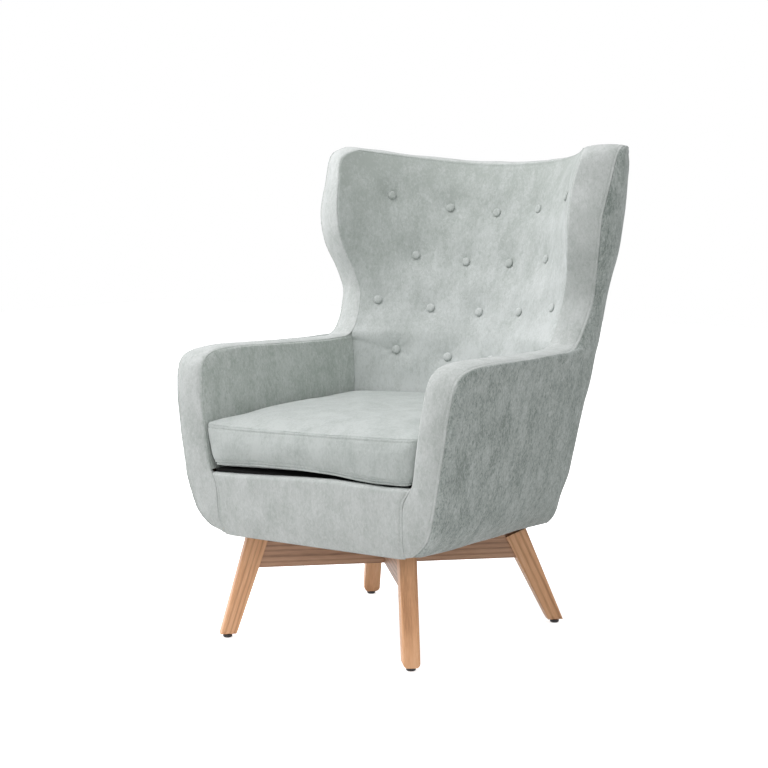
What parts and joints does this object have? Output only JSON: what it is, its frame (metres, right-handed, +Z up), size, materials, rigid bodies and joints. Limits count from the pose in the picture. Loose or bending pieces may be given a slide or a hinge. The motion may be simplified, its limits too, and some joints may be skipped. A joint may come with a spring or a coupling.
{
  "type": "wing armchair",
  "caption": "High-backed wing armchair with a curved, buttoned upholstered shell, a loose box seat cushion and a splayed wooden cross base.",
  "frame": {"origin": "bottom centre of the bounding box, on the floor", "axes": "+Z up, -Y the way the sitter faces, +X towards the right seen from the front"},
  "size_m": [0.7792, 0.8172, 1.0498],
  "materials": {
    "velvet": "short pile with a soft sheen",
    "oak": "clear satin",
    "pine": "sawn",
    "fibreboard": "matt",
    "foam": "open-cell foam",
    "webbing": "woven elastic",
    "lining": "matt cloth",
    "zinc_steel": "zinc plated",
    "glide_plastic": "moulded"
  },
  "bodies": {
    "chair": {"cross_rail_lower": "oak", "cross_rail_upper": "oak", "leg_front_left": "oak", "leg_front_right": "oak", "leg_rear_left": "oak", "leg_rear_right": "oak", "glides": "glide_plastic", "glide_nails": "zinc_steel", "base_bolts": "zinc_steel", "base_washers": "zinc_steel", "tee_nuts": "zinc_steel", "front_stretcher": "pine", "rear_stretcher": "pine", "front_rail": "pine", "rear_rail": "pine", "side_rail_left": "pine", "side_rail_right": "pine", "corner_blocks": "pine", "arm_post_left": "pine", "arm_post_right": "pine", "arm_rail_left": "pine", "arm_rail_right": "pine", "wing_post_left": "pine", "wing_post_right": "pine", "back_post_left": "pine", "back_post_right": "pine", "top_rail": "pine", "middle_rail": "pine", "seat_straps_long": "webbing", "seat_straps_cross": "webbing", "back_straps": "webbing", "deck_pad": "foam", "back_foam": "foam", "arm_foam_left": "foam", "arm_foam_right": "foam", "deck_cloth": "lining", "dust_cover": "lining", "side_board_left": "fibreboard", "side_board_right": "fibreboard", "back_board": "fibreboard", "front_panel": "velvet", "inside_back_cover": "velvet", "inside_arm_cover_left": "velvet", "inside_arm_cover_right": "velvet", "outside_cover_left": "velvet", "outside_cover_right": "velvet", "outside_back_cover": "velvet", "border_left": "velvet", "border_right": "velvet", "top_border": "velvet", "back_buttons": "velvet"},
    "seat_cushion": {"cushion_core": "foam", "cushion_top_cover": "velvet", "cushion_bottom_cover": "velvet", "cushion_boxing": "velvet"}
  },
  "joints": [
    {"name": "seat_cushion_lift", "type": "slide", "parent": "chair", "child": "seat_cushion", "axis": [0, 0, 1], "range_m": [0, 0.35]}
  ]
}
